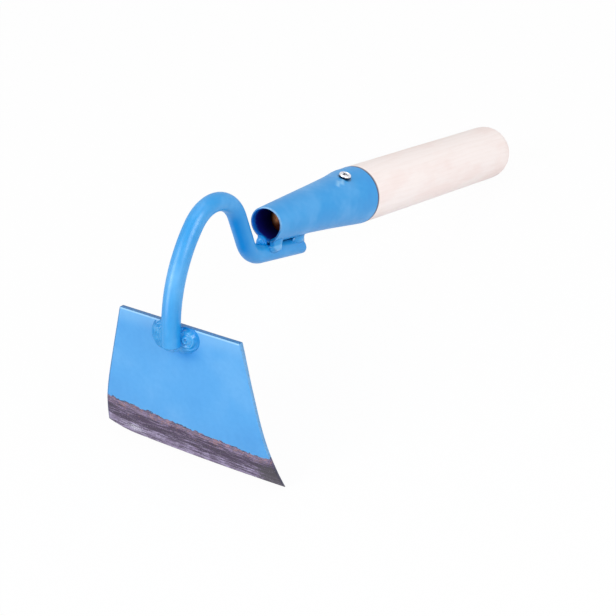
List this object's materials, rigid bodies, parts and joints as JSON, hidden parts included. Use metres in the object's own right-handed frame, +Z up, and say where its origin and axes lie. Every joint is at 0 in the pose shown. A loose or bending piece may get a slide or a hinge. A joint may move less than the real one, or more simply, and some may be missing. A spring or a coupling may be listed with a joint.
{
  "type": "hand hoe",
  "caption": "Short hand hoe: trapezoid steel blade with a curved-back cutting edge, hung from a bent round rod welded under a rolled conical socket that holds a short wooden handle.",
  "frame": {"origin": "middle of the bounding box's underside: the tool lies on its cutting edge and on the underside of the handle's butt", "axes": "+X level, from the blade towards the handle's butt; +Y to the left of someone who faces the blade's front; +Z up. The XZ plane is the tool's middle plane, and the handle dips 18.6 degrees from level towards its butt"},
  "size_m": [0.2946, 0.101, 0.1169],
  "materials": {
    "blue_paint": "sky-blue satin paint over steel, worn off along the blade's cutting edge",
    "bare_wood": "pale sanded hardwood, no varnish",
    "zinc": "bright zinc plating"
  },
  "bodies": {
    "root": {"blade": "blue_paint", "blade_weld_left": "blue_paint", "blade_weld_right": "blue_paint", "neck_rod": "blue_paint", "socket": "blue_paint", "socket_weld_left": "blue_paint", "socket_weld_right": "blue_paint", "socket_weld_rear": "blue_paint", "handle": "bare_wood", "fixing_screw": "zinc"}
  },
  "joints": []
}
